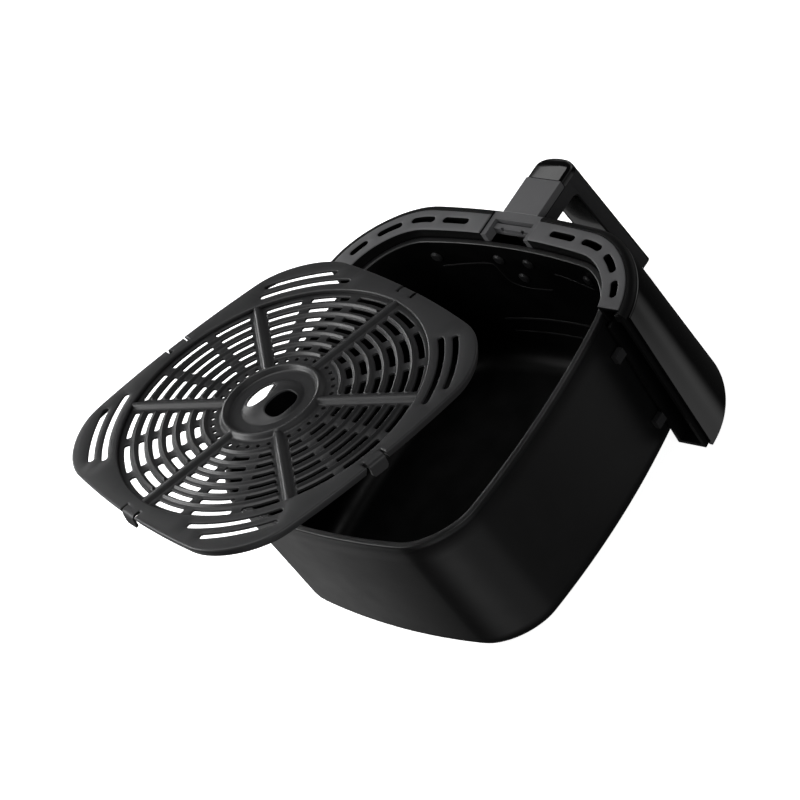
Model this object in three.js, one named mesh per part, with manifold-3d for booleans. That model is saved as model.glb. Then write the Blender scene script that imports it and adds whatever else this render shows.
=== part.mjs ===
// Air fryer drawer with its lift-out crisper plate.
// Millimetres, +Z up, the handle and front panel towards -Y, origin at the centre of the pan's underside.
import * as THREE from 'three';
import { mergeVertices } from 'three/addons/utils/BufferGeometryUtils.js';
import Module from 'manifold-3d';

const wasm = await Module();
wasm.setup();

// ---- driving dimensions -------------------------------------------------------------------
const GAP = 0.3; // clearance between pieces that touch

const RIM = { halfX: 95.6, halfY: 100, radius: 31, bow: 9.4, top: 107.6, band: 3.5 };
const PAN = { baseHalfX: 95, baseHalfY: 97, wallInset: 0.8, wall: 2.8, floor: 2.6, fillet: 16 };
const TRIM = { inner: 0.3, outer: 14.8, top: 114.5, thick: 2.5, skirt: 2, skirtBottom: 101.5, endY: -71 };
const SLOT = { offset: 7.9, width: 4.6, spans: [[33.3, 53.6], [60, 77.5], [84, 101.5], [108.5, 122]] };
const NOTCH = { offset: 7, width: 5, from: 128 };
const FRAME = { bottom: 1, wall: 2.5, inner: 1.2, innerTop: 100.5, shoulderTop: 114.1, end: [-62, -68] };
const SKIN = { top: 110, bottom: 0.5, thick: 2.8, offsetTop: 20.3, offsetBottom: 24.5, end: [-65, -71] };
const BRIDGE = { half: 19.2, armInner: 15.5, top: 113, front: -128, back: -110, recess: -122 };
const HANDLE = { half: 14, root: -128.3, barLow: 98, barTop: 113, tip: 16 };
const GRIP = {
  mid: { tip: -172.8, top: -164.7 },
  reach: { tip: 6.2, top: 10 },
  square: { tip: 6, top: 2.2 },
  back: 5.4,
  capStart: -156,
  strip: 3,
  liner: { half: 12, thick: 2, top: 91.5 },
};
const COVER = { bottom: 107.5 };
const PLATE = {
  halfX: 93.4, halfY: 95.5, radius: 35.4, bow: 8.5, sheet: 1.5, lip: 5.6, lipWall: 1.5,
  recess: 92.1, drop: 2.6, ribs: 6, ribWidth: 5, hubOuter: 30, hubInner: 26.5, dome: 18.5,
  holeRadius: 15.8, domeTop: -1, barWidth: 5.4, barTop: 1.8, barAngle: 98,
};
const PLATE_CENTRE = [-16.88, 83.8, 203];
const PLATE_RINGS = [87.4, 78.7, 70.4, 62.2, 53.7, 45.2];
const PLATE_SLOT = 3.6;
const PAN_SCREWS = [[-62, 94.5], [-12, 96], [0, 81.5], [12, 96], [62, 94.5]];
const CLIPS = [['upper', 81.5], ['lower', 25.8]];

// ---- helpers ------------------------------------------------------------------------------
const V2 = (x, y) => new THREE.Vector2(x, y);

// A rounded rectangle whose four sides bow outwards.
function bowedRect(halfX, halfY, radius, bow, arc = 7, side = 7) {
  const corners = [[1, 1, 0], [-1, 1, 90], [-1, -1, 180], [1, -1, 270]];
  const raw = [];
  corners.forEach(([sx, sy, start], i) => {
    const cx = sx * (halfX - radius);
    const cy = sy * (halfY - radius);
    for (let k = 0; k < arc; k++) {
      const t = THREE.MathUtils.degToRad(start + (90 * k) / (arc - 1));
      raw.push([cx + radius * Math.cos(t), cy + radius * Math.sin(t)]);
    }
    const [nx, ny, next] = corners[(i + 1) % 4];
    const t = THREE.MathUtils.degToRad(next);
    const bx = nx * (halfX - radius) + radius * Math.cos(t);
    const by = ny * (halfY - radius) + radius * Math.sin(t);
    const [ax, ay] = raw[raw.length - 1];
    for (let k = 1; k < side; k++) raw.push([ax + ((bx - ax) * k) / side, ay + ((by - ay) * k) / side]);
  });
  return raw.map(([x, y]) => {
    const u = x / halfX;
    const v = y / halfY;
    return V2(
      x + bow * Math.sign(x) * Math.max(0, 1 - v * v) * Math.abs(u),
      y + bow * Math.sign(y) * Math.max(0, 1 - u * u) * Math.abs(v),
    );
  });
}

// The rim's outline moved outwards by a distance.
function rimOutline(offset, arc, side) {
  return bowedRect(RIM.halfX + offset, RIM.halfY + offset, RIM.radius + offset, RIM.bow, arc, side);
}

function toSolid(geometry) {
  const g = geometry.clone();
  g.deleteAttribute('normal');
  g.deleteAttribute('uv');
  const m = mergeVertices(g, 1e-4);
  const mesh = new wasm.Mesh({
    numProp: 3,
    vertProperties: new Float32Array(m.attributes.position.array),
    triVerts: new Uint32Array(m.index.array),
  });
  return new wasm.Manifold(mesh);
}

function toGeometry(solid) {
  const mesh = solid.getMesh();
  const g = new THREE.BufferGeometry();
  g.setAttribute('position', new THREE.BufferAttribute(new Float32Array(mesh.vertProperties), 3));
  g.setIndex(new THREE.BufferAttribute(new Uint32Array(mesh.triVerts), 1));
  return g;
}

// Closed solid through a stack of outlines that share one point count.
function loft(layers) {
  const n = layers[0].pts.length;
  const pos = [];
  layers.forEach(({ pts, z }) => pts.forEach((p) => pos.push(p.x, p.y, z)));
  const idx = [];
  for (let l = 0; l < layers.length - 1; l++) {
    for (let i = 0; i < n; i++) {
      const a = l * n + i;
      const b = l * n + ((i + 1) % n);
      idx.push(a, b, b + n, a, b + n, a + n);
    }
  }
  const cap = (pts, base, flip) => THREE.ShapeUtils.triangulateShape(pts, []).forEach(([a, b, c]) => {
    if (flip) idx.push(base + a, base + c, base + b);
    else idx.push(base + a, base + b, base + c);
  });
  cap(layers[0].pts, 0, true);
  cap(layers[layers.length - 1].pts, (layers.length - 1) * n, false);
  const g = new THREE.BufferGeometry();
  g.setAttribute('position', new THREE.Float32BufferAttribute(pos, 3));
  g.setIndex(idx);
  return toSolid(g);
}

function prism(pts, z0, z1) {
  return loft([{ pts, z: z0 }, { pts, z: z1 }]);
}

function box(x0, x1, y0, y1, z0, z1) {
  const g = new THREE.BoxGeometry(x1 - x0, y1 - y0, z1 - z0);
  g.translate((x0 + x1) / 2, (y0 + y1) / 2, (z0 + z1) / 2);
  return toSolid(g);
}

// A profile in Y and Z swept straight across X.
function acrossX(profile, x0, x1) {
  const g = new THREE.ExtrudeGeometry(new THREE.Shape(profile), {
    depth: x1 - x0, bevelEnabled: false, curveSegments: 6,
  });
  g.translate(0, 0, x0);
  g.applyMatrix4(new THREE.Matrix4().set(0, 0, 1, 0, 1, 0, 0, 0, 0, 1, 0, 0, 0, 0, 0, 1));
  return toSolid(g);
}

// A turned profile (radius, height) stood on its end, then laid along a direction.
function turned(profile, at, direction, segments = 14) {
  const g = new THREE.LatheGeometry(profile.map(([r, h]) => V2(r, h)), segments);
  const q = new THREE.Quaternion().setFromUnitVectors(
    new THREE.Vector3(0, 1, 0), new THREE.Vector3(...direction).normalize(),
  );
  g.applyQuaternion(q);
  g.translate(...at);
  return toSolid(g);
}

// Points along an outline, measured from the middle of its front side.
function alongFront(outline, length, side) {
  const pts = outline.filter((p) => p.x * side >= -1e-6 && p.y < 60);
  pts.sort((a, b) => Math.atan2(a.x * side, -a.y) - Math.atan2(b.x * side, -b.y));
  const path = [V2(0, pts[0].y), ...pts.filter((p) => p.x * side > 1e-6)];
  let run = 0;
  for (let i = 0; i < path.length - 1; i++) {
    const step = path[i].distanceTo(path[i + 1]);
    if (run + step >= length) {
      const t = (length - run) / step;
      const p = path[i].clone().lerp(path[i + 1], t);
      const d = path[i + 1].clone().sub(path[i]).normalize();
      return { p, d };
    }
    run += step;
  }
  return { p: path[path.length - 1], d: V2(0, 1) };
}

// A round-ended slot that follows the rim's curve.
function curvedSlot(offset, width, from, to, side, z0, z1) {
  const outline = rimOutline(offset, 24, 24);
  const r = width / 2;
  const left = [];
  const right = [];
  const steps = 4;
  for (let k = 0; k <= steps; k++) {
    const s = from + r + ((to - from - 2 * r) * k) / steps;
    const { p, d } = alongFront(outline, s, side);
    const nrm = V2(-d.y, d.x).multiplyScalar(r);
    left.push(p.clone().add(nrm));
    right.push(p.clone().sub(nrm));
  }
  const cap = (s, sign) => {
    const { p, d } = alongFront(outline, s, side);
    return [-60, -30, 0, 30, 60].map((deg) => {
      const v = d.clone().multiplyScalar(r * sign).rotateAround(V2(0, 0), THREE.MathUtils.degToRad(deg));
      return p.clone().add(v);
    });
  };
  const pts = [...left, ...cap(to - r, 1).reverse(), ...right.reverse(), ...cap(from + r, -1).reverse()];
  if (THREE.ShapeUtils.isClockWise(pts)) pts.reverse();
  return prism(pts, z0, z1);
}

// ---- pan ----------------------------------------------------------------------------------
function panOutline(z, inset) {
  const t = 1 - z / RIM.top;
  const hx = THREE.MathUtils.lerp(RIM.halfX - PAN.wallInset, PAN.baseHalfX, t) - inset;
  const hy = THREE.MathUtils.lerp(RIM.halfY - PAN.wallInset, PAN.baseHalfY, t) - inset;
  return bowedRect(hx, hy, RIM.radius - inset, RIM.bow);
}

function panLayers(floorZ, inset, fillet) {
  const layers = [];
  for (let k = 0; k <= 4; k++) {
    const a = (Math.PI / 2) * (k / 4);
    const z = floorZ + fillet * (1 - Math.cos(a));
    layers.push({ pts: panOutline(z, inset + fillet * (1 - Math.sin(a))), z });
  }
  return layers;
}

// A point on the pan's inner front wall and the outward direction there.
function screwPlace(x, z, back) {
  const t = 1 - z / RIM.top;
  const hx = THREE.MathUtils.lerp(RIM.halfX - PAN.wallInset, PAN.baseHalfX, t) - PAN.wall;
  const hy = THREE.MathUtils.lerp(RIM.halfY - PAN.wallInset, PAN.baseHalfY, t) - PAN.wall;
  const dir = new THREE.Vector3((2 * RIM.bow * x) / hx ** 2, -1, 0).normalize();
  const wall = new THREE.Vector3(x, -(hy + RIM.bow * (1 - (x / hx) ** 2)), z);
  return { at: wall.addScaledVector(dir, -back).toArray(), dir: dir.toArray() };
}

function pan() {
  const outer = panLayers(0, 0, PAN.fillet);
  outer.push({ pts: panOutline(RIM.top - RIM.band - 0.6, 0), z: RIM.top - RIM.band - 0.6 });
  outer.push({ pts: rimOutline(0), z: RIM.top - RIM.band });
  outer.push({ pts: rimOutline(0), z: RIM.top });
  const inner = panLayers(PAN.floor, PAN.wall, PAN.fillet - 2);
  inner.push({ pts: panOutline(RIM.top, PAN.wall), z: RIM.top + 1 });
  let solid = loft(outer).subtract(loft(inner));
  PAN_SCREWS.forEach(([x, z]) => {
    const { at, dir } = screwPlace(x, z, 6);
    solid = solid.subtract(turned([[0, 0], [2.2, 0], [2.2, 14], [0, 14]], at, dir, 12));
  });
  return solid;
}

function panScrew(x, z) {
  const { at, dir } = screwPlace(x, z, 1.9);
  const profile = [[0, 0], [2.6, 0.1], [3.9, 1], [3.9, 1.6], [1.9, 1.6], [1.9, 11.6], [0, 11.6]];
  return turned(profile, at, dir);
}

// ---- trim round the front half of the rim ---------------------------------------------------
function trimRing() {
  const plate = prism(rimOutline(TRIM.outer), TRIM.top - TRIM.thick, TRIM.top)
    .subtract(prism(rimOutline(TRIM.inner), 0, 200));
  const skirt = prism(rimOutline(TRIM.inner + TRIM.skirt), TRIM.skirtBottom, TRIM.top - 1)
    .subtract(prism(rimOutline(TRIM.inner), 0, 200));
  return plate.add(skirt);
}

function trimSide(side) {
  const edge = BRIDGE.half + GAP;
  const x0 = side > 0 ? edge : -140;
  const x1 = side > 0 ? 140 : -edge;
  let solid = trimRing().intersect(box(x0, x1, -150, TRIM.endY, 50, 150));
  SLOT.spans.forEach(([a, b]) => {
    solid = solid.subtract(curvedSlot(SLOT.offset, SLOT.width, a, b, side, 105, 125));
  });
  return solid.subtract(curvedSlot(NOTCH.offset, NOTCH.width, NOTCH.from, NOTCH.from + 22, side, 105, 125));
}

// The lowered piece between the two trims, where the handle starts.
function trimBridge() {
  const band = prism(rimOutline(40), 106, BRIDGE.top).subtract(prism(rimOutline(TRIM.inner), 0, 200));
  return band
    .intersect(box(-BRIDGE.half, BRIDGE.half, BRIDGE.front, BRIDGE.back + 2, 100, 120))
    .subtract(box(-BRIDGE.armInner, BRIDGE.armInner, BRIDGE.recess, -90, 108.1, 120))
    .subtract(box(-BRIDGE.armInner, BRIDGE.armInner, -116.5, -90, 90, 120))
    .subtract(box(-BRIDGE.half - 1, BRIDGE.half + 1, BRIDGE.front - 1, BRIDGE.recess - 2, 100, 108.9));
}

function latchPlate() {
  const half = BRIDGE.armInner - GAP;
  let solid = box(-half, half, -120.6, -116.8, 108.4, 110.7);
  [-8.2, 8.2].forEach((x) => {
    solid = solid.subtract(box(x - 1.3, x + 1.3, -117.9, -116, 107, 112));
  });
  return solid;
}

// ---- front panel --------------------------------------------------------------------------
function skinOffset(z) {
  return THREE.MathUtils.mapLinear(z, SKIN.bottom, SKIN.top, SKIN.offsetBottom, SKIN.offsetTop);
}

function drafted(inset, z0, z1) {
  return loft([z0, z1].map((z) => ({ pts: rimOutline(skinOffset(z) - inset), z })));
}

// Everything in front of a sloping end, whose Y is given at the bottom and at the skin's top.
function inFrontOf([low, high]) {
  const y = (z) => THREE.MathUtils.mapLinear(z, 0, SKIN.top, low, high);
  return acrossX([V2(-150, -5), V2(y(-5), -5), V2(y(150), 150), V2(-150, 150)], -150, 150);
}

function frontSkin() {
  return drafted(0, SKIN.bottom, SKIN.top)
    .subtract(drafted(SKIN.thick, SKIN.bottom - 1, SKIN.top + 1))
    .intersect(inFrontOf(SKIN.end))
    .subtract(box(-HANDLE.half - GAP, HANDLE.half + GAP, -150, -100, HANDLE.barLow - GAP, 150))
    .subtract(box(-BRIDGE.half - GAP, BRIDGE.half + GAP, -150, -100, 108.3, 150));
}

function frontFrame() {
  const out = SKIN.thick + GAP;
  const low = SKIN.top + GAP;
  const shell = drafted(out, FRAME.bottom, SKIN.top - 4)
    .add(loft([
      { pts: rimOutline(skinOffset(SKIN.top) - out), z: SKIN.top - 5 },
      { pts: rimOutline(skinOffset(SKIN.top) - out), z: low },
      { pts: rimOutline(skinOffset(SKIN.top) - 0.2), z: low },
      { pts: rimOutline(TRIM.outer + GAP), z: FRAME.shoulderTop },
    ]));
  const channel = drafted(out + FRAME.wall, FRAME.bottom + FRAME.wall, SKIN.top - 3)
    .subtract(prism(rimOutline(FRAME.inner + FRAME.wall), 0, FRAME.innerTop));
  const ledge = prism(rimOutline(12), 100, 120);
  const seat = prism(rimOutline(TRIM.outer + GAP), TRIM.top - TRIM.thick - GAP, 120);
  const hollow = channel.add(ledge);
  const bracketSlot = box(-8.5, 8.5, -135, -118, 102.4, 105.5);
  let solid = shell
    .subtract(prism(rimOutline(FRAME.inner), -5, 200))
    .intersect(inFrontOf(FRAME.end))
    .subtract(hollow)
    .subtract(seat)
    .subtract(box(-BRIDGE.half - GAP, BRIDGE.half + GAP, -150, -100, 105.7, 150))
    .subtract(prism(rimOutline(TRIM.inner + TRIM.skirt + GAP), FRAME.innerTop, 150))
    .subtract(bracketSlot);
  PAN_SCREWS.forEach(([x, z]) => {
    const { at, dir } = screwPlace(x, z, 0);
    solid = solid.subtract(turned([[0, 0], [2.2, 0], [2.2, 14], [0, 14]], at, dir, 12));
  });
  [68, 86].forEach((z) => {
    solid = solid.subtract(turned([[0, 0], [2.2, 0], [2.2, 8], [0, 8]], [0, -121.5, z], [0, -1, 0], 12));
  });
  return solid;
}

function sideClip(side, z) {
  const y0 = THREE.MathUtils.mapLinear(z - 3, 0, SKIN.top, ...FRAME.end) + GAP;
  const y1 = y0 + 7.7;
  const wall = RIM.halfX - PAN.wallInset + RIM.bow * (1 - (y1 / RIM.halfY) ** 2);
  const x0 = wall + 0.5;
  const x1 = wall + 4.2;
  return box(side > 0 ? x0 : -x1, side > 0 ? x1 : -x0, y0, y1, z - 3, z + 3);
}

// ---- handle -------------------------------------------------------------------------------
function gripAt(z, { tip, top }) {
  return THREE.MathUtils.mapLinear(z, HANDLE.tip, HANDLE.barTop, tip, top);
}

function gripMid(z) {
  return gripAt(z, GRIP.mid);
}

// Front of the grip at its tip or its top, from +X to -X: nearly square below, rounded above.
function gripFront(end, z, steps = 16) {
  const power = 2 / GRIP.square[end];
  return Array.from({ length: steps + 1 }, (_, k) => {
    const a = (Math.PI * k) / steps;
    const c = Math.cos(a);
    const x = HANDLE.half * Math.sign(c) * Math.abs(c) ** power;
    return V2(x, gripMid(z) - GRIP.reach[end] * Math.abs(Math.sin(a)) ** power);
  });
}

// Loft along the leaning grip between two heights, both given as an outline of z.
function alongGrip(section, z0, z1) {
  return loft([{ pts: section(z0), z: z0 }, { pts: section(z1), z: z1 }]);
}

// The whole grip at one height, blended between the shapes of its two ends.
function gripSection(z) {
  const t = THREE.MathUtils.inverseLerp(HANDLE.tip, HANDLE.barTop, z);
  const [low, high] = [gripFront('tip', z), gripFront('top', z)];
  const front = low.map((p, k) => V2(...['x', 'y'].map((i) => THREE.MathUtils.lerp(p[i], high[k][i], t))));
  const back = gripMid(z) + GRIP.back;
  return [...front, V2(-HANDLE.half, back), V2(HANDLE.half, back)].reverse();
}

// A band across the grip, measured back from its front face.
function gripBand(from, to, z0, z1) {
  return alongGrip((z) => {
    const y = gripMid(z) - gripAt(z, GRIP.reach);
    return [V2(-20, y + from), V2(20, y + from), V2(20, y + to), V2(-20, y + to)];
  }, z0, z1);
}

function handleCap() {
  const top = HANDLE.barTop;
  const strip = alongGrip(gripSection, HANDLE.tip, top - 1).intersect(gripBand(-5, GRIP.strip, 0, top + 5));
  const roof = [...gripFront('top', top), V2(-HANDLE.half, GRIP.capStart), V2(HANDLE.half, GRIP.capStart)];
  return strip.add(prism(roof.reverse(), COVER.bottom, top));
}

function linerSection(half, front, back) {
  return (z) => {
    const y = gripMid(z) + GRIP.back;
    return [V2(-half, y + front), V2(half, y + front), V2(half, y + back), V2(-half, y + back)];
  };
}

function handleBody() {
  const { half, thick, top: linerTop } = GRIP.liner;
  const top = COVER.bottom - GAP;
  const h = HANDLE.half;
  const grip = alongGrip(gripSection, HANDLE.tip, top).subtract(gripBand(-5, GRIP.strip + GAP, 0, top + 5));
  const bar = box(-h, h, gripMid(HANDLE.barTop) + 1, HANDLE.root, HANDLE.barLow, top);
  return grip.add(bar)
    .subtract(alongGrip(linerSection(half + GAP, -thick - GAP, 1), HANDLE.tip - 1, linerTop + GAP))
    .subtract(box(-8.3, 8.3, -152.3, -120, 102.7, 105.3));
}

function handleTopCover() {
  return box(-HANDLE.half, HANDLE.half, GRIP.capStart + GAP, HANDLE.root, COVER.bottom, HANDLE.barTop);
}

function handleLiner() {
  const { half, thick, top } = GRIP.liner;
  return alongGrip(linerSection(half, -thick, 0), HANDLE.tip, top);
}

function handleBracket() {
  const profile = [
    V2(-124.3, 60), V2(-122.3, 60), V2(-122.3, 105), V2(-152, 105), V2(-152, 103), V2(-124.3, 103),
  ];
  let solid = acrossX(profile, -8, 8);
  [68, 86].forEach((z) => {
    solid = solid.subtract(turned([[0, 0], [2.2, 0], [2.2, 8], [0, 8]], [0, -120, z], [0, -1, 0], 12));
  });
  return solid;
}

function bracketScrew(z) {
  const profile = [[0, 0], [2.8, 0.2], [3.7, 1.2], [3.7, 1.7], [1.9, 1.7], [1.9, 6.3], [0, 6.3]];
  return turned(profile, [0, -120.3, z], [0, -1, 0]);
}

// ---- crisper plate ------------------------------------------------------------------------
function arcSlot(radius, width, from, to, z0, z1, steps) {
  const pts = [];
  const r0 = radius - width / 2;
  const r1 = radius + width / 2;
  const edge = THREE.MathUtils.radToDeg(width / 2 / radius) * 0.55;
  const at = (r, deg) => {
    const a = THREE.MathUtils.degToRad(deg);
    return V2(r * Math.cos(a), r * Math.sin(a));
  };
  const angle = (k) => from + edge + ((to - from - 2 * edge) * k) / steps;
  for (let k = 0; k <= steps; k++) pts.push(at(r1, angle(k)));
  pts.push(at(radius, to));
  for (let k = steps; k >= 0; k--) pts.push(at(r0, angle(k)));
  pts.push(at(radius, from));
  return prism(pts, z0, z1);
}

function disc(radius, z0, z1, n = 48) {
  const pts = Array.from({ length: n }, (_, k) => V2(
    radius * Math.cos((2 * Math.PI * k) / n), radius * Math.sin((2 * Math.PI * k) / n),
  ));
  return prism(pts, z0, z1);
}

function union(list) {
  return list.reduce((a, b) => a.add(b));
}

function plateHoles() {
  const cuts = [];
  for (let sector = 0; sector < PLATE.ribs; sector++) {
    const mid = sector * (360 / PLATE.ribs);
    PLATE_RINGS.forEach((r) => {
      const clear = THREE.MathUtils.radToDeg(5 / r);
      const bar = THREE.MathUtils.radToDeg(2.4 / r) + 0.35;
      [-1, 0, 1].forEach((k) => {
        const from = k < 0 ? mid - 30 + clear : mid + (k === 0 ? -10.3 : 10.3) + bar;
        const to = k > 0 ? mid + 30 - clear : mid + (k === 0 ? 10.3 : -10.3) - bar;
        cuts.push(arcSlot(r, PLATE_SLOT, from, to, -9, 3, 1 + (r > 60 ? 1 : 0)));
      });
    });
    for (let k = 0; k < 5; k++) {
      const a = THREE.MathUtils.degToRad(mid - 20.6 + 10.3 * k);
      cuts.push(box(-1.2, 1.2, -1.2, 1.2, -9, 3).translate([35.6 * Math.cos(a), 35.6 * Math.sin(a), 0]));
    }
  }
  for (let q = 0; q < 4; q++) {
    const inner = 41.7 + 90 * q;
    const outer = 44.1 + 90 * q;
    cuts.push(arcSlot(99.7, 3.8, inner - 16.4, inner + 16.4, -9, 3, 4));
    cuts.push(arcSlot(107.9, 3.8, outer - 12.2, outer + 12.2, -9, 3, 3));
  }
  return union(cuts);
}

function plateTab(angle) {
  const half = 5.5;
  const edge = angle % 180 === 0 ? PLATE.halfX + PLATE.bow : PLATE.halfY + PLATE.bow;
  const tongue = box(edge - 4, edge + 1, -half, half, -PLATE.sheet, 0)
    .add(box(edge - 0.8, edge + 1, -half + 0.8, half - 0.8, -11, -0.5));
  const slits = box(edge - 5, edge + 5, half, half + 1.4, -20, 5)
    .add(box(edge - 5, edge + 5, -half - 1.4, -half, -20, 5))
    .add(box(edge - 4, edge + 5, -half - 0.1, half + 0.1, -20, 5));
  return { tongue: tongue.rotate([0, 0, angle]), slits: slits.rotate([0, 0, angle]) };
}

function crisperPlate() {
  const outline = (o, s) => bowedRect(PLATE.halfX - o, PLATE.halfY - o, PLATE.radius - o, PLATE.bow, s, s);
  let border = loft([
    { pts: outline(1.26, 7), z: -PLATE.lip },
    { pts: outline(0.2, 7), z: -1 },
    { pts: outline(1, 7), z: 0 },
  ]).subtract(loft([
    { pts: outline(1.26 + PLATE.lipWall, 7), z: -PLATE.lip - 1 },
    { pts: outline(0.2 + PLATE.lipWall, 7), z: -PLATE.sheet },
  ]));
  border = border.subtract(disc(PLATE.recess, -10, 5));
  const floorTop = -PLATE.drop;
  const recess = disc(PLATE.recess + 1.5, floorTop - PLATE.sheet, -0.6)
    .subtract(disc(PLATE.recess - 0.8, floorTop, 5));
  const ribs = Array.from({ length: PLATE.ribs }, (_, k) => box(
    PLATE.hubInner + 1, PLATE.recess + 0.5, -PLATE.ribWidth / 2, PLATE.ribWidth / 2, floorTop - 1, -0.4,
  ).rotate([0, 0, 30 + 60 * k]));
  const hub = disc(PLATE.hubOuter, floorTop - 1, 0.6, 36).subtract(disc(PLATE.hubInner, floorTop, 5, 36));
  const tabs = [0, 90, 180, 270].map(plateTab);
  let body = union([border, recess, ...ribs, hub]);
  body = body.subtract(plateHoles());
  body = body.subtract(union(tabs.map((t) => t.slits)));
  body = union([body, ...tabs.map((t) => t.tongue)]);
  return body.subtract(disc(PLATE.dome - 0.6, -20, 5, 32)).add(plateGrip(floorTop));
}

// The raised centre ring with a bar across it, which leaves two finger holes.
function plateGrip(floorTop) {
  const low = floorTop - PLATE.sheet;
  const cone = (r0, r1, z0, z1) => turned([[0, z0], [r0, z0], [r1, z1], [0, z1]], [0, 0, 0], [0, 0, 1], 32);
  const ring = cone(PLATE.dome + 0.4, PLATE.holeRadius + 0.9, low, PLATE.domeTop)
    .subtract(disc(PLATE.holeRadius, -20, 20, 32));
  const w = PLATE.barWidth / 2;
  const bar = box(-PLATE.holeRadius - 0.4, PLATE.holeRadius + 0.4, -w, w, low, PLATE.domeTop - 0.2)
    .add(box(-9, 9, -w, w, low, PLATE.barTop));
  const web = disc(PLATE.holeRadius + 0.3, low, PLATE.domeTop - 0.4, 32)
    .subtract(disc(6.9, -20, 20, 20).scale([1, 1.45, 1]).translate([9.2, 0, 0]))
    .subtract(disc(6.9, -20, 20, 20).scale([1, 1.45, 1]).translate([-9.2, 0, 0]));
  return union([ring, bar.rotate([0, 0, 90]), web]).rotate([0, 0, PLATE.barAngle - 90]);
}

function plateMatrix() {
  const m = new THREE.Matrix4();
  m.set(
    0.9753, 0.2164, -0.0451, PLATE_CENTRE[0],
    -0.2210, 0.9592, -0.1764, PLATE_CENTRE[1],
    0.0051, 0.1820, 0.9833, PLATE_CENTRE[2],
    0, 0, 0, 1,
  );
  return m;
}

// ---- assembly -----------------------------------------------------------------------------
const group = new THREE.Group();
const FINISH = {
  enamel: [0x161617, 0.55, 0.1],
  trim: [0x3a3a3c, 0.6, 0],
  frame: [0x121213, 0.6, 0],
  gloss: [0x050506, 0.12, 0],
  grip: [0x2c2c2e, 0.55, 0],
  steel: [0xb4b6b8, 0.35, 0.9],
  screw: [0x8b8d90, 0.35, 0.9],
  plate: [0x2b2b2d, 0.5, 0.2],
};

function place(name, solid, finish, matrix) {
  const g = toGeometry(solid);
  if (matrix) g.applyMatrix4(matrix);
  const flat = g.toNonIndexed();
  flat.computeVertexNormals();
  const [color, roughness, metalness] = FINISH[finish];
  const mesh = new THREE.Mesh(flat, new THREE.MeshStandardMaterial({ color, roughness, metalness }));
  mesh.name = name;
  group.add(mesh);
}

place('basket_pan', pan(), 'enamel');
place('rim_trim_left', trimSide(1), 'trim');
place('rim_trim_right', trimSide(-1), 'trim');
place('trim_bridge', trimBridge(), 'trim');
place('latch_plate', latchPlate(), 'steel');
place('front_frame', frontFrame(), 'frame');
place('front_skin', frontSkin(), 'gloss');
place('handle_body', handleBody(), 'grip');
place('handle_top_cover', handleTopCover(), 'grip');
place('handle_cap', handleCap(), 'gloss');
place('handle_liner', handleLiner(), 'gloss');
place('handle_bracket', handleBracket(), 'steel');
place('bracket_screw_upper', bracketScrew(86), 'screw');
place('bracket_screw_lower', bracketScrew(68), 'screw');
PAN_SCREWS.forEach(([x, z], i) => place(`pan_screw_${i + 1}`, panScrew(x, z), 'screw'));
[['left', 1], ['right', -1]].forEach(([name, side]) => {
  CLIPS.forEach(([level, z]) => place(`side_clip_${name}_${level}`, sideClip(side, z), 'frame'));
});
place('crisper_plate', crisperPlate(), 'plate', plateMatrix());

export default group;
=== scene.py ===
"""Air fryer drawer with its crisper plate lifted clear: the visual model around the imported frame."""

from math import atan2, cos, degrees, hypot, pi, radians, sin

import bmesh
import bpy
import numpy as np
from mathutils import Matrix, Vector
from mathutils.geometry import delaunay_2d_cdt


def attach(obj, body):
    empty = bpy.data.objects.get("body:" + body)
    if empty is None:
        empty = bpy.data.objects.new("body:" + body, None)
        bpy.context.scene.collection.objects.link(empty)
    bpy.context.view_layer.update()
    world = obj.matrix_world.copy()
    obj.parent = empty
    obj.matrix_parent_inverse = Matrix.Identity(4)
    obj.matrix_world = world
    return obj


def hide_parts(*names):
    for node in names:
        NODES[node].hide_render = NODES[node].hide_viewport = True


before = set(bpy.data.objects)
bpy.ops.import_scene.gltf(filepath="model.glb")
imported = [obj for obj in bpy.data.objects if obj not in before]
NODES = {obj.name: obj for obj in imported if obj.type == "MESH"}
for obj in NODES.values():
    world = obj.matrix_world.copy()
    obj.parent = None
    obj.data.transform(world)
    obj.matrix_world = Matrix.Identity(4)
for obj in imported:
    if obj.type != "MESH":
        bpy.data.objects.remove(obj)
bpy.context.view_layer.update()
MM = 0.001

# ---- dimensions in millimetres, in the same frame as the CAD part ------------------------------
GAP = 0.3               # clearance where one moulding sits in another
EDGE_ANGLE = 38         # degrees above which an edge counts as hard
# pan
RIM_HALF_X, RIM_HALF_Y, RIM_RADIUS, RIM_BOW, RIM_TOP = 95.6, 100.0, 31.0, 9.4, 107.6
PAN_BASE_X, PAN_BASE_Y, PAN_INSET, PAN_WALL, PAN_FLOOR = 95.0, 97.0, 0.8, 2.8, 2.6
PAN_FILLET, PAN_BAND = 16.0, 3.5
# rim trims and the bridge between them
TRIM_IN, TRIM_OUT, TRIM_TOP, TRIM_THICK, TRIM_END = 0.3, 14.8, 114.5, 2.5, -71.0
TRIM_SLOTS = [(33.3, 53.6), (60.0, 77.5), (84.0, 101.5), (108.5, 122.0)]
TRIM_SLOT_OFFSET, TRIM_SLOT_WIDTH = 7.9, 4.6
SKIRT_LOW, SKIRT_THICK = 101.5, 2.0
BRIDGE_HALF = 19.2
# panel: (distance out of the rim, height) at its foot and top, and where its ends stand in y
SKIN_LOW, SKIN_HIGH, SKIN_THICK = (24.5, 0.5), (20.3, 110.0), 2.8
SKIN_END, FRAME_END = (-65.0, -71.0), (-62.0, -68.0)
SKIN_NOTCH, FRAME_NOTCH = 108.3, 105.7
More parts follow.
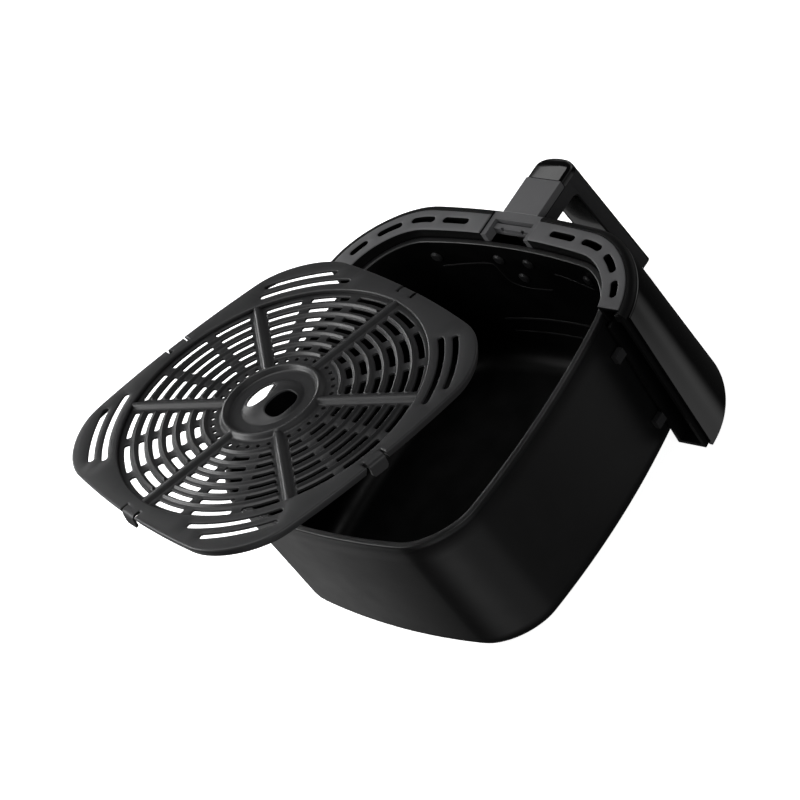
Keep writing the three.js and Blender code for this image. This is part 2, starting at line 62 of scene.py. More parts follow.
# handle: grip values are pairs, at the tip and at the top
HANDLE_HALF, HANDLE_ROOT, BAR_LOW, BAR_TOP, TIP = 14.0, -128.3, 98.0, 113.0, 16.0
GRIP_MID, GRIP_REACH, GRIP_SQUARE = (-172.8, -164.7), (6.2, 10.0), (6.0, 2.2)
GRIP_BACK, GRIP_STRIP, LINER_HALF, LINER_THICK, LINER_TOP = 5.4, 3.0, 12.0, 2.0, 91.5
CAP_START, COVER_LOW = -156.0, 107.5
CROWN_START, CROWN_DROP = -164.5, 1.9
# crisper plate, in its own frame: z = 0 is the top of its border
PLATE_HALF_X, PLATE_HALF_Y, PLATE_RADIUS, PLATE_BOW = 93.0, 95.0, 35.4, 8.5
PLATE_RECESS, FLOOR, SHEET = 92.1, -2.6, 1.3
RINGS = [87.4, 78.7, 70.4, 62.2, 53.7, 45.2]
RIDGES = [r + 3.6 for r in RINGS[1:]] + [40.5]
RIDGE_HALF, RIDGE_HEIGHT = 1.5, 1.5
RING_SLOT_HALF, DOT_HALF, DOT_RING = 1.8, 1.2, 35.8
RIB_HEIGHT, RIB_FLAT, RIB_SLOPE = 2.35, 0.7, 2.5
HUB = [(0, FLOOR), (26.2, FLOOR), (26.8, FLOOR + 0.5), (27.4, 0.1), (28.0, 0.55), (28.5, 0.6),
       (29.1, 0.4), (29.9, -0.6), (30.7, -1.9), (31.4, FLOOR), (99, FLOOR)]
HUB_OUT = 29.0
DOME_RADIUS, DOME_FLAT, DOME_HEIGHT = 18.6, 4.0, 4.6
TAB_HALF, TAB_SLIT, TAB_CUT = 5.5, 6.9, 8.2
PLATE_PLACE = Matrix((
    (0.9753, 0.2164, -0.0451, -16.88),
    (-0.2210, 0.9592, -0.1764, 83.8),
    (0.0051, 0.1820, 0.9833, 203.0),
    (0, 0, 0, 1),
))


# ---- outlines -----------------------------------------------------------------------------------
def bowed(half_x, half_y, radius, bow, arc=22, side=22):
    """A rounded rectangle whose sides bow outwards, anticlockwise."""
    corners = ((1, 1, 0), (-1, 1, 90), (-1, -1, 180), (1, -1, 270))
    raw = []
    for i, (sx, sy, start) in enumerate(corners):
        for k in range(arc):
            t = radians(start + 90 * k / (arc - 1))
            raw.append((sx * (half_x - radius) + radius * cos(t),
                        sy * (half_y - radius) + radius * sin(t)))
        nx, ny, turn = corners[(i + 1) % 4]
        t = radians(turn)
        bx = nx * (half_x - radius) + radius * cos(t)
        by = ny * (half_y - radius) + radius * sin(t)
        ax, ay = raw[-1]
        raw += [(ax + (bx - ax) * k / side, ay + (by - ay) * k / side) for k in range(1, side)]
    out = []
    for x, y in raw:
        u, v = x / half_x, y / half_y
        out.append((
            x + bow * np.sign(x) * max(0, 1 - v * v) * abs(u),
            y + bow * np.sign(y) * max(0, 1 - u * u) * abs(v),
        ))
    return out


def rim(offset):
    return bowed(RIM_HALF_X + offset, RIM_HALF_Y + offset, RIM_RADIUS + offset, RIM_BOW)


def between(t, a, b):
    return a + (b - a) * t


def length_along(points):
    """The distance run at each point of a line."""
    return np.concatenate([[0], np.cumsum(np.hypot(*np.diff(points, axis=0).T))])


def resample(points, count):
    p = np.array(points, float)
    run = length_along(p)
    at = np.linspace(0, run[-1], count + 1)
    return np.stack([np.interp(at, run, p[:, 0]), np.interp(at, run, p[:, 1])], 1)


def front_path(offset, end_y, count=110):
    """Even points along the rim's front half, moved outwards, from its -X end to its +X end."""
    p = [q for q in rim(offset) if q[1] < 25]
    low = [i for i, q in enumerate(p) if q[1] <= end_y]
    first, last = low[0], low[-1]
    start = np.array(p[first - 1]), np.array(p[first])
    stop = np.array(p[last]), np.array(p[last + 1])
    a = between((end_y - start[0][1]) / (start[1][1] - start[0][1]), *start)
    b = between((end_y - stop[0][1]) / (stop[1][1] - stop[0][1]), *stop)
    return resample([a, *p[first:last + 1], b], count)


def rounded(corners, steps=4):
    """A closed polygon whose corners (x, y, radius) are rounded."""
    out = []
    n = len(corners)
    for i, (x, y, r) in enumerate(corners):
        p = Vector((x, y))
        if r <= 0:
            out.append((x, y))
            continue
        a = Vector(corners[i - 1][:2]) - p
        b = Vector(corners[(i + 1) % n][:2]) - p
        start = p + a.normalized() * min(r, a.length / 2)
        stop = p + b.normalized() * min(r, b.length / 2)
        for k in range(steps + 1):
            t = k / steps
            out.append(tuple(start * (1 - t) ** 2 + p * 2 * t * (1 - t) + stop * t * t))
    return out


def inset(loop, distance):
    """A closed loop moved to its left, which is into the material."""
    p = np.array(loop, float)
    if abs(distance) < 1e-9:
        return p
    ahead = np.roll(p, -1, 0) - p
    ahead /= np.linalg.norm(ahead, axis=1)[:, None] + 1e-12
    back = np.roll(ahead, 1, 0)
    normal = np.stack([-ahead[:, 1], ahead[:, 0]], 1) + np.stack([-back[:, 1], back[:, 0]], 1)
    square = (normal ** 2).sum(1)[:, None]
    return p + normal * 2 / np.maximum(square, 1.0) * distance


# ---- mesh makers --------------------------------------------------------------------------------
class Shell:
    """Vertices and faces gathered for one piece, in millimetres."""

    def __init__(self):
        self.verts, self.faces = [], []

    def loop(self, points, z=None):
        start = len(self.verts)
        for p in points:
            self.verts.append((float(p[0]), float(p[1]), float(p[2] if z is None else z)))
        return list(range(start, len(self.verts)))

    def bridge(self, a, b, closed=True):
        n = len(a)
        for i in range(n if closed else n - 1):
            j = (i + 1) % n
            self.faces.append((a[i], a[j], b[j], b[i]))

    def cap(self, a):
        self.faces.append(tuple(a))

    def tube(self, loops):
        """A closed solid through loops of equal count."""
        for a, b in zip(loops, loops[1:]):
            self.bridge(a, b)
        self.cap(loops[0])
        self.cap(loops[-1])

    def loft(self, layers):
        """A closed solid through (points, z) layers of equal count."""
        self.tube([self.loop(points, z) for points, z in layers])

    def sweep(self, section, ends):
        """A closed section of (offset, z) run round the front of the rim."""
        loops = []
        for offset, z in section:
            end_y = between(z / SKIN_HIGH[1], *ends)
            loops.append(self.loop(front_path(offset, end_y), z))
        for a, b in zip(loops, loops[1:] + loops[:1]):
            self.bridge(a, b, closed=False)
        self.cap([a[0] for a in loops])
        self.cap([a[-1] for a in loops])

    def slab(self, loops):
        """A sheet with holes, from (loop, levels) for its outline and then for each hole. Levels
        are (inset, z), from the top cap to the bottom cap."""
        rows = []
        for loop, levels in loops:
            rows.append([self.loop(inset(loop, d), z) for d, z in levels])
            for a, b in zip(rows[-1], rows[-1][1:]):
                self.bridge(a, b)
        for which in (0, -1):
            ids = [i for row in rows for i in row[which]]
            flat = [[self.verts[i][:2] for i in row[which]] for row in rows]
            for tri in triangulate(flat):
                self.faces.append(tuple(ids[k] for k in tri))


def triangulate(loops, extra=()):
    """Triangles over the region inside the first loop and outside the others."""
    points, edges = [], []
    for loop in loops:
        s, n = len(points), len(loop)
        points += [Vector((float(p[0]), float(p[1]))) for p in loop]
        edges += [(s + i, s + (i + 1) % n) for i in range(n)]
    ends = np.array([(points[a][:], points[b][:]) for a, b in edges])
    x0, x1, y0, y1 = ends[:, 0, 0], ends[:, 1, 0], ends[:, 0, 1], ends[:, 1, 1]
    rise = np.where(np.abs(y1 - y0) < 1e-12, 1e-12, y1 - y0)
    points += [Vector((float(p[0]), float(p[1]))) for p in extra]
    made = delaunay_2d_cdt(points, edges, [], 0, 1e-7)
    origin = [o[0] if o else None for o in made[3]]
    tris = []
    for tri in made[2]:
        ids = [origin[k] for k in tri]
        if None in ids or len(set(ids)) < 3:
            continue
        c = (points[ids[0]] + points[ids[1]] + points[ids[2]]) / 3
        crosses = (y0 > c.y) != (y1 > c.y)
        at = x0 + (c.y - y0) * (x1 - x0) / rise
        if np.count_nonzero(crosses & (at > c.x)) % 2:
            tris.append(ids)
    return tris


def round_edge(radius, top, steps=4):
    """Levels that round a top edge over, from its flat face down its side."""
    angles = [pi / 2 * k / steps for k in range(steps + 1)]
    return [(radius * (1 - sin(a)), top - radius * (1 - cos(a))) for a in angles]


def finish_piece(name, shell, material, body, node, bevel=0, smooth=EDGE_ANGLE, place=None,
                 painted_shade_faces=None):
    """Turns a shell into a piece that stands for a CAD node. The optional last argument is a second
    material, a darker copy that paints shade, and the test, of a face's centre in mm and its normal,
    that says where it goes."""
    mesh = bpy.data.meshes.new(name)
    mesh.from_pydata([(x * MM, y * MM, z * MM) for x, y, z in shell.verts], [], shell.faces)
    bm = bmesh.new()
    bm.from_mesh(mesh)
    bmesh.ops.remove_doubles(bm, verts=bm.verts, dist=2e-6)
    bmesh.ops.dissolve_degenerate(bm, edges=bm.edges, dist=1e-6)
    loose = [v for v in bm.verts if not v.link_faces]
    bmesh.ops.delete(bm, geom=loose, context="VERTS")
    bmesh.ops.recalc_face_normals(bm, faces=bm.faces)
    if place is not None:
        rows = place.copy()
        rows.translation = place.translation * MM
        bmesh.ops.transform(bm, matrix=rows, verts=bm.verts)
    bm.to_mesh(mesh)
    bm.free()
    mesh.shade_smooth()
    mesh.set_sharp_from_angle(angle=radians(smooth))
    piece = add_object(name, mesh)
    mesh.materials.append(material)
    # painted shade: faces that pass the test take the darker second material
    if painted_shade_faces is not None:
        second, test = painted_shade_faces
        mesh.materials.append(second)
        for face in mesh.polygons:
            face.material_index = int(test(face.center / MM, face.normal))
    if bevel:
        soften(piece, bevel)
    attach(piece, body)
    if node:
        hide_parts(node)
    return piece


def add_object(name, data):
    piece = bpy.data.objects.new(name, data)
    bpy.context.scene.collection.objects.link(piece)
    return piece


def soften(piece, width, segments=3):
    """Rounds a piece's hard edges."""
    mod = piece.modifiers.new("rounded_edges", "BEVEL")
    mod.width = width * MM
    mod.segments = segments
    mod.limit_method = "ANGLE"
    mod.angle_limit = radians(EDGE_ANGLE)
    mod.miter_outer = "MITER_ARC"
    weighted = piece.modifiers.new("weighted_normals", "WEIGHTED_NORMAL")
    weighted.keep_sharp = False
    weighted.weight = 60


# ---- materials ----------------------------------------------------------------------------------
def noise(tree, coords, scale, detail):
    """Noise over the object, as a value from 0 to 1."""
    cloud = tree.nodes.new("ShaderNodeTexNoise")
    cloud.inputs["Scale"].default_value = scale
    cloud.inputs["Detail"].default_value = detail
    tree.links.new(coords.outputs["Object"], cloud.inputs["Vector"])
    return cloud.outputs["Fac"]


def material(name, color, rough, specular=0.5, metallic=0.0, coat=0.0, grain=(0.4, 0.01),
             blotch=0.15, spread=0.08, crease_shade=0.0):
    """A moulded, coated or plated surface. blotch and spread are how far the colour and the
    roughness wander, and grain is its cell size and bump height in mm. crease is how far, in mm,
    painted shade darkens the coat out of its inner corners: occlusion shading put into the colour."""
    mat = bpy.data.materials.new(name)
    mat.use_nodes = True
    tree = mat.node_tree
    nodes, links = tree.nodes, tree.links
    shader = nodes["Principled BSDF"]
    shader.inputs["Metallic"].default_value = metallic
    shader.inputs["Specular IOR Level"].default_value = specular
    shader.inputs["Coat Weight"].default_value = coat
    shader.inputs["Coat Roughness"].default_value = 0.04
    coords = nodes.new("ShaderNodeTexCoord")
    tint = nodes.new("ShaderNodeValToRGB")
    for end, place, sign in zip(tint.color_ramp.elements, (0.3, 0.7), (-1, 1)):
        end.position = place
        end.color = (*[min(1, c * (1 + sign * blotch)) for c in color], 1)
    links.new(noise(tree, coords, 28, 5), tint.inputs["Fac"])
    base = tint.outputs["Color"]
    if crease_shade:
        # painted shade: ambient occlusion darkens the colour in creases and inner corners
        hollow = nodes.new("ShaderNodeAmbientOcclusion")
        hollow.samples = 6
        hollow.inputs["Distance"].default_value = crease_shade * MM
        links.new(base, hollow.inputs["Color"])
        shade = nodes.new("ShaderNodeMix")
        shade.data_type = "RGBA"
        shade.blend_type = "MULTIPLY"
        shade.inputs["Factor"].default_value = 1
        links.new(hollow.outputs["Color"], shade.inputs["A"])
        links.new(hollow.outputs["AO"], shade.inputs["B"])
        base = shade.outputs["Result"]
    links.new(base, shader.inputs["Base Color"])
    to_rough = nodes.new("ShaderNodeMapRange")
    to_rough.inputs["From Min"].default_value = 0.3
    to_rough.inputs["From Max"].default_value = 0.7
    to_rough.inputs["To Min"].default_value = max(0.02, rough - spread)
    to_rough.inputs["To Max"].default_value = min(1, rough + spread)
    links.new(noise(tree, coords, 60, 6), to_rough.inputs["Value"])
    links.new(to_rough.outputs["Result"], shader.inputs["Roughness"])
    cell, height = grain
    bump = nodes.new("ShaderNodeBump")
    bump.inputs["Strength"].default_value = 1
    bump.inputs["Distance"].default_value = height * MM
    links.new(noise(tree, coords, 1 / (cell * MM), 2), bump.inputs["Height"])
    links.new(bump.outputs["Normal"], shader.inputs["Normal"])
    return mat


MOULDED, COATED, BRUSHED = (0.35, 0.012), (0.45, 0.006), (0.3, 0.006)
PAN_COAT = material("pan_nonstick", (0.0032, 0.0032, 0.0034), 0.4, 0.42, grain=COATED,
                    blotch=0.08, spread=0.02)
# painted shade: a darker, less glossy copy of the pan's coat stands in for the shade inside the pan
PAN_INSIDE_SHADE = material("pan_inside_painted_shade", (0.0008, 0.0008, 0.00085), 0.42, 0.09, grain=COATED, blotch=0.08)
# painted shade: the plate's coat is darkened in its creases by occlusion shading
PLATE_COAT = material("plate_nonstick", (0.028, 0.028, 0.029), 0.42, 0.4, grain=(0.4, 0.008),
                      blotch=0.06, spread=0.03, crease_shade=4)
TRIM_PLASTIC = material("trim_plastic", (0.09, 0.09, 0.093), 0.52, 0.4, grain=MOULDED,
                        blotch=0.05, spread=0.04)
CLIP_PLASTIC = material("clip_plastic", (0.02, 0.02, 0.021), 0.5, 0.4, grain=MOULDED, blotch=0.08)
FRAME_PLASTIC = material("frame_plastic", (0.0025, 0.0025, 0.0027), 0.5, 0.15, grain=MOULDED,
                         blotch=0.1)
# painted shade: a near-black copy of the trim plastic for faces in shade, such as the trims' skirts
# and sides
SKIRT_SHADE_PLASTIC = material("shaded_plastic", (0.002, 0.002, 0.0021), 0.55, 0.12, grain=MOULDED,
                        blotch=0.1)
GLOSS = material("polished_plastic", (0.001, 0.001, 0.0011), 0.12, 0.5, coat=0.4, grain=(12, 0.004),
                 spread=0.03)
GRIP_PLASTIC = material("grip_plastic", (0.022, 0.022, 0.023), 0.5, 0.35, blotch=0.05, spread=0.04)
COVER_PLASTIC = material("cover_plastic", (0.1, 0.1, 0.103), 0.5, 0.4, blotch=0.05, spread=0.04)
STEEL = material("zinc_steel", (0.5, 0.5, 0.51), 0.32, 0.5, metallic=1.0, grain=BRUSHED, blotch=0.1)
SCREW_STEEL = material("blackened_screw", (0.03, 0.03, 0.031), 0.3, 0.5, metallic=0.7, grain=BRUSHED)


# ---- pan ----------------------------------------------------------------------------------------
def pan_halves(z, inward):
    """The pan's half sizes in x and y at one height."""
    t = 1 - z / RIM_TOP
    return (between(t, RIM_HALF_X - PAN_INSET, PAN_BASE_X) - inward,
            between(t, RIM_HALF_Y - PAN_INSET, PAN_BASE_Y) - inward)


def pan_outline(z, inward):
    return bowed(*pan_halves(z, inward), max(RIM_RADIUS - inward, 3), RIM_BOW)


def fillet_layers(floor, inward, radius, steps=10):
    layers = []
    for k in range(steps + 1):
        a = pi / 2 * k / steps
        z = floor + radius * (1 - cos(a))
        layers.append((pan_outline(z, inward + radius * (1 - sin(a))), z))
    return layers


def make_pan():
    walls = [30, 45, 60, 75, 90]
    layers = fillet_layers(0, 0, PAN_FILLET)
    layers += [(pan_outline(z, 0), z) for z in walls + [RIM_TOP - PAN_BAND - 1.6]]
    layers += [(rim(-0.1), RIM_TOP - PAN_BAND - 0.3), (rim(0), RIM_TOP - PAN_BAND)]
    layers += [(rim(-d), z) for d, z in reversed(round_edge(0.7, RIM_TOP))]
    inner_edge = [(-0.7, 0), (-0.35, 0.1), (-0.1, 0.35), (0, 0.7)]
    layers += [(pan_outline(RIM_TOP, PAN_WALL + d), RIM_TOP - drop) for d, drop in inner_edge]
    layers += [(pan_outline(z, PAN_WALL), z) for z in reversed(walls)]
    layers += reversed(fillet_layers(PAN_FLOOR, PAN_WALL, PAN_FILLET - 2))
    shell = Shell()
    shell.loft(layers)

    # painted shade: the pan's inner faces take the darker copy of its coat
    def is_shaded_inside(centre, normal):
        faces_in = normal.z > 0.5 or normal.x * centre.x + normal.y * centre.y < 0
        return 1.0 < centre.z < RIM_TOP - 1 and faces_in
    return finish_piece("pan", shell, PAN_COAT, "drawer", "basket_pan", smooth=50,
                        painted_shade_faces=(PAN_INSIDE_SHADE, is_shaded_inside))


def on_front_wall(x, z):
    """A point on the pan's inner front wall."""
    half_x, half_y = pan_halves(z, PAN_WALL)
    return Vector((x, -half_y - RIM_BOW * (1 - (x / half_x) ** 2), z))


def curve_through(points, each=8):
    """Catmull-Rom points through a few given ones."""
    p = [Vector(q) for q in (points[0], *points, points[-1])]
    out = []
    for a, b, c, d in zip(p, p[1:], p[2:], p[3:]):
        for k in range(each):
            t = k / each
            out.append(0.5 * (2 * b + (c - a) * t + (2 * a - 5 * b + 4 * c - d) * t * t
                              + (3 * b - 3 * c + d - a) * t ** 3))
    return out + [p[-1]]


def make_beads():
    """The pressed outline of the handle's seat and the low ledges on the inner front wall."""
    seat = [(62, 85.5), (40, 88.6), (24, 90.4), (19.5, 89), (18, 83), (15.8, 76), (10.5, 72.4),
            (0, 71), (-18, 73)]
    seat_end = [(-30, 90.4), (-40, 89.4), (-62, 85.5)]
    upper_ledge = [(-46, 43.5), (0, 41.5), (42, 37.5)]
    lower_ledge = [(-46, 28.5), (0, 28), (40, 26.5)]
    outward = Vector((0, 1, 0))
    shell = Shell()
    for route, radius in ((seat, 0.35), (seat_end, 0.35), (upper_ledge, 0.6), (lower_ledge, 0.45)):
        path = [on_front_wall(q[0], q[1]) for q in curve_through(route)]
        loops = []
        for i, q in enumerate(path):
            ahead = (path[min(i + 1, len(path) - 1)] - path[max(i - 1, 0)]).normalized()
            side = ahead.cross(outward).normalized()
            turns = [2 * pi * k / 8 for k in range(8)]
            loops.append(shell.loop([
                q + side * radius * 1.6 * cos(a) + outward * radius * 0.5 * sin(a) for a in turns
            ]))
        shell.tube(loops)
    finish_piece("pan_pressed_lines", shell, PAN_COAT, "drawer", None, smooth=80)


# ---- trim ---------------------------------------------------------------------------------------
def slot_loop(side, start, stop, steps=10):
    """A round-ended slot along the rim's front, clockwise seen from above."""
    path = front_path(TRIM_SLOT_OFFSET, -20, 900)
    run = length_along(path)
    middle = run[-1] / 2

    def at(s):
        """The point, the way along the rim and the way across it, at a run from the middle."""
        q, r = [np.array([np.interp(middle + side * t, run, path[:, i]) for i in (0, 1)])
                for t in (s, s + 0.5)]
        d = (r - q) / np.linalg.norm(r - q)
        return q, d, np.array([-d[1], d[0]])

    def round_end(s, angles):
        q, along, across = at(s)
        turns = [radians(a) for a in angles]
        return [q + r * (cos(t) * along + sin(t) * across) for t in turns]
    r = TRIM_SLOT_WIDTH / 2
    sides = [at(between(k / steps, start + r, stop - r)) for k in range(steps + 1)]
    points = [q + r * across for q, _, across in sides]
    points += round_end(stop - r, (60, 30, 0, -30, -60))
    points += [q - r * across for q, _, across in reversed(sides)]
    points += round_end(start + r, (-120, -150, 180, 150, 120))
    p = np.array(points)
    area = np.sum(p[:, 0] * np.roll(p[:, 1], -1) - np.roll(p[:, 0], -1) * p[:, 1])
    return p if area < 0 else p[::-1]


def make_trim(side, name, node):
    edge = BRIDGE_HALF + GAP
    low = TRIM_TOP - TRIM_THICK

    def half(offset):
        """Points from the bridge round to the trim's end, on one side."""
        p = front_path(offset, TRIM_END, 400)
        p = p if side > 0 else p[::-1]
        x = p[:, 0] * side
        front = np.abs(x) < 60
        y = np.interp(edge, x[front], p[front][:, 1])
        return resample([(edge * side, y), *p[x > edge]], 70)

    def strip(outer, inner):
        outline = np.array([*half(outer), *half(inner)[::-1]])
        return outline if side > 0 else outline[::-1]
    slot_edge = round_edge(0.5, TRIM_TOP, 3) + [(0, low)]
    shell = Shell()
    shell.slab([(strip(TRIM_OUT, TRIM_IN), round_edge(0.7, TRIM_TOP) + [(0, low)]),
                *[(slot_loop(side, a, b), slot_edge) for a, b in TRIM_SLOTS]])
    skirt = inset(strip(TRIM_IN + SKIRT_THICK, TRIM_IN + 0.03), 0.05)
    shell.loft([(skirt, z) for z in (SKIRT_LOW, low + 0.4)])

    # painted shade: the trim's sides and skirt below its top take the near-black copy
    def is_skirt(centre, normal):
        return centre.z < TRIM_TOP - 1 and abs(normal.z) < 0.5
    finish_piece(name, shell, TRIM_PLASTIC, "drawer", node,
                 painted_shade_faces=(SKIRT_SHADE_PLASTIC, is_skirt))


# ---- front panel --------------------------------------------------------------------------------
def cut(piece, boxes):
    """Takes boxes (low corner, high corner) in millimetres out of a piece."""
    for low, high in boxes:
        bm = bmesh.new()
        bmesh.ops.create_cube(bm, size=1)
        size, middle = Vector(high) - Vector(low), (Vector(high) + Vector(low)) / 2
        for v in bm.verts:
            v.co = Vector([middle[i] + v.co[i] * size[i] for i in range(3)]) * MM
        mesh = bpy.data.meshes.new("cutter")
        bm.to_mesh(mesh)
        bm.free()
        cutter = add_object("cutter", mesh)
        mod = piece.modifiers.new("cut", "BOOLEAN")
        mod.object = cutter
        mod.solver = "EXACT"
        bpy.context.view_layer.update()
        evaluated = piece.evaluated_get(bpy.context.evaluated_depsgraph_get())
        cut_mesh = bpy.data.meshes.new_from_object(evaluated)
        piece.modifiers.remove(mod)
        piece.data = cut_mesh
        bpy.data.objects.remove(cutter)
    piece.data.shade_smooth()
    piece.data.set_sharp_from_angle(angle=radians(EDGE_ANGLE))


def front_opening(half, bottom):
    """A box that opens the panel's middle, from a height upwards."""
    return (-half - GAP, -160, bottom), (half + GAP, -100, 150)


def make_skin():
    section = rounded([
        (*SKIN_LOW, 0.8), (*SKIN_HIGH, 1.8),
        (SKIN_HIGH[0] - SKIN_THICK, SKIN_HIGH[1], 0.4), (SKIN_LOW[0] - SKIN_THICK, SKIN_LOW[1], 0.4),
    ])
    shell = Shell()
    shell.sweep(section, SKIN_END)
    piece = finish_piece("front_skin_gloss", shell, GLOSS, "drawer", "front_skin")
    cut(piece, [front_opening(HANDLE_HALF, BAR_LOW - GAP), front_opening(BRIDGE_HALF, SKIN_NOTCH)])
    soften(piece, 0.7)


def make_frame():
    """The moulding behind the skin: foot, wall with the shoulder on its top, and inner upright."""
    section = rounded([
        (1.2, 1, 0.5), (21.4, 1, 0.5), (17.2, 110.3, 0), (20.1, 110.3, 0.3), (19.5, 112.4, 1.4),
        (17.2, 114.1, 1.4), (15.1, 114.1, 0.3), (15.1, 111.7, 0), (12, 111.7, 0.3), (12, 107, 0.3),
        (14.8, 107, 0), (18.8, 3.5, 0.5), (3.7, 3.5, 0.5), (3.7, 100.5, 0.5), (1.2, 100.5, 0.8),
    ], 3)
    shell = Shell()
    shell.sweep(section, FRAME_END)
    piece = finish_piece("front_frame_moulding", shell, FRAME_PLASTIC, "drawer",
                         "front_frame")
    cut(piece, [front_opening(BRIDGE_HALF, FRAME_NOTCH)])
    soften(piece, 0.5, 2)


# ---- handle -------------------------------------------------------------------------------------
def along_grip(z, ends):
    return between((z - TIP) / (BAR_TOP - TIP), *ends)


def grip_front(z, inward=0.0, steps=40):
    """The grip's front at one height, from -X to +X: nearly square at its tip, rounded at its top."""
    ends = []
    for reach, square in zip(GRIP_REACH, GRIP_SQUARE):
        a = np.linspace(0, pi, steps + 1)
        c, s = np.cos(a), np.abs(np.sin(a))
        x = -(HANDLE_HALF - inward) * np.sign(c) * np.abs(c) ** (2 / square)
        y = along_grip(z, GRIP_MID) - (reach - inward) * s ** (2 / square)
        ends.append(np.stack([x, y], axis=1))
    return along_grip(z, ends)


def strip_start(outline, z, from_front):
    """Where, counted in points, the -X side of the front comes within a distance of its face."""
    limit = along_grip(z, GRIP_MID) - along_grip(z, GRIP_REACH) + from_front
    half = len(outline) // 2
    return float(np.interp(-limit, -outline[:half + 1, 1], np.arange(half + 1)))


def points_at(outline, where):
    index = np.arange(len(outline))
    return [(np.interp(w, index, outline[:, 0]), np.interp(w, index, outline[:, 1])) for w in where]


def grip_strip(z, inward, steps=24):
    """The polished strip's front at one height."""
    outline = grip_front(z, inward)
    start = strip_start(outline, z, GRIP_STRIP)
    return points_at(outline, np.linspace(start, len(outline) - 1 - start, steps + 1))


def core_section(z, inward, pocket_depth=LINER_THICK + 0.2):
    """The grip's core: its sides behind the strip, and its back with the pocket for the liner."""
    h, back = HANDLE_HALF - inward, along_grip(z, GRIP_MID) + GRIP_BACK
    outline = grip_front(z, inward)
    left = points_at(outline, np.linspace(0, strip_start(outline, z, GRIP_STRIP + 0.12), 7))
    right = [(-x, y) for x, y in reversed(left)]
    pocket = LINER_HALF + 0.25
    corner = [(h, back - 1.1), (h - 0.35, back - 0.35), (h - 1.1, back), (pocket, back),
              (pocket, back - pocket_depth)]
    return left + right + corner + [(-x, y) for x, y in reversed(corner)]


def crown(piece):
    """Bows the cap's top down towards its outer end."""
    bm = bmesh.new()
    bm.from_mesh(piece.data)
    end = along_grip(BAR_TOP, GRIP_MID) - GRIP_REACH[1]
    for k in range(8):
        at = (0, between(k / 8, CROWN_START, end) * MM, 0)
        everything = bm.verts[:] + bm.edges[:] + bm.faces[:]
        bmesh.ops.bisect_plane(bm, geom=everything, plane_co=at, plane_no=(0, 1, 0))
    for v in bm.verts:
        if v.co.z > (COVER_LOW + 2.5) * MM:
            share = max(0, (v.co.y / MM - CROWN_START) / (end - CROWN_START))
            v.co.z -= CROWN_DROP * MM * share ** 2
    bm.to_mesh(piece.data)
    bm.free()


def make_handle():
    tip_round = [(TIP, 0.6), (TIP + 0.15, 0.15), (TIP + 0.6, 0.0)]
    strip_heights = [(between(k / 8, TIP + 0.6, COVER_LOW + 1), 0.0) for k in range(1, 9)]
    shell = Shell()
    shell.loft([(grip_strip(z, d), z) for z, d in tip_round + strip_heights])
    roof = []
    for d, z in [(0.0, COVER_LOW), *reversed(round_edge(2.4, BAR_TOP, 8))]:
        h = HANDLE_HALF - d
        roof.append(([*grip_front(z, d), (h, CAP_START), (-h, CAP_START)], z))
    shell.loft(roof)
    cap = finish_piece("handle_cap_gloss", shell, GLOSS, "drawer", "handle_cap",
                       smooth=42)
    crown(cap)

    shell = Shell()
    core_heights = tip_round + [(50, 0.0), (LINER_TOP + 0.25, 0.0)]
    shell.loft([(core_section(z, d), z) for z, d in core_heights])
    above_liner = (LINER_TOP + 0.05, COVER_LOW - 0.25)
    shell.loft([(core_section(z, 0.0, pocket_depth=1.2), z) for z in above_liner])
    inner, bar_end, bar_top = along_grip(92, GRIP_MID) + GRIP_BACK, -166, COVER_LOW - GAP
    bar = [(HANDLE_ROOT, BAR_LOW), (HANDLE_ROOT, bar_top), (bar_end, bar_top), (bar_end, 92),
           (inner - 1, 92), (inner - 0.6, 94.4), (inner + 0.9, 96.6), (inner + 3.4, 97.7),
           (inner + 6, BAR_LOW)]
    bar_half = HANDLE_HALF - 0.03
    shell.tube([shell.loop([(x, y, z) for y, z in bar]) for x in (-bar_half, bar_half)])
    finish_piece("handle_core", shell, GRIP_PLASTIC, "drawer", "handle_body",
                 smooth=30)

    shell = Shell()
    cover = [(-HANDLE_HALF, COVER_LOW), (HANDLE_HALF, COVER_LOW), (HANDLE_HALF, BAR_TOP),
             (-HANDLE_HALF, BAR_TOP)]
    shell.tube([shell.loop([(x, y, z) for x, z in cover]) for y in (CAP_START + 0.15, HANDLE_ROOT)])
    finish_piece("handle_cover", shell, COVER_PLASTIC, "drawer", "handle_top_cover",
                 bevel=0.5)

    shell = Shell()
    layers = []
    for z in (TIP + 0.1, 40, 65, LINER_TOP):
        y = along_grip(z, GRIP_MID) + GRIP_BACK
        layers.append(([(-LINER_HALF, y - LINER_THICK), (LINER_HALF, y - LINER_THICK),
                        (LINER_HALF, y), (-LINER_HALF, y)], z))
    shell.loft(layers)
    finish_piece("handle_liner_gloss", shell, GLOSS, "drawer", "handle_liner",
                 bevel=0.4)
    return cap


# ---- crisper plate ------------------------------------------------------------------------------
def smooth(t):
    t = min(1, max(0, t))
    return t * t * (3 - 2 * t)


def off_spoke(x, y):
    """The distance from the nearest of the six ribs."""
    turn = (degrees(atan2(y, x)) - 30) % 60
    return hypot(x, y) * sin(radians(min(turn, 60 - turn)))


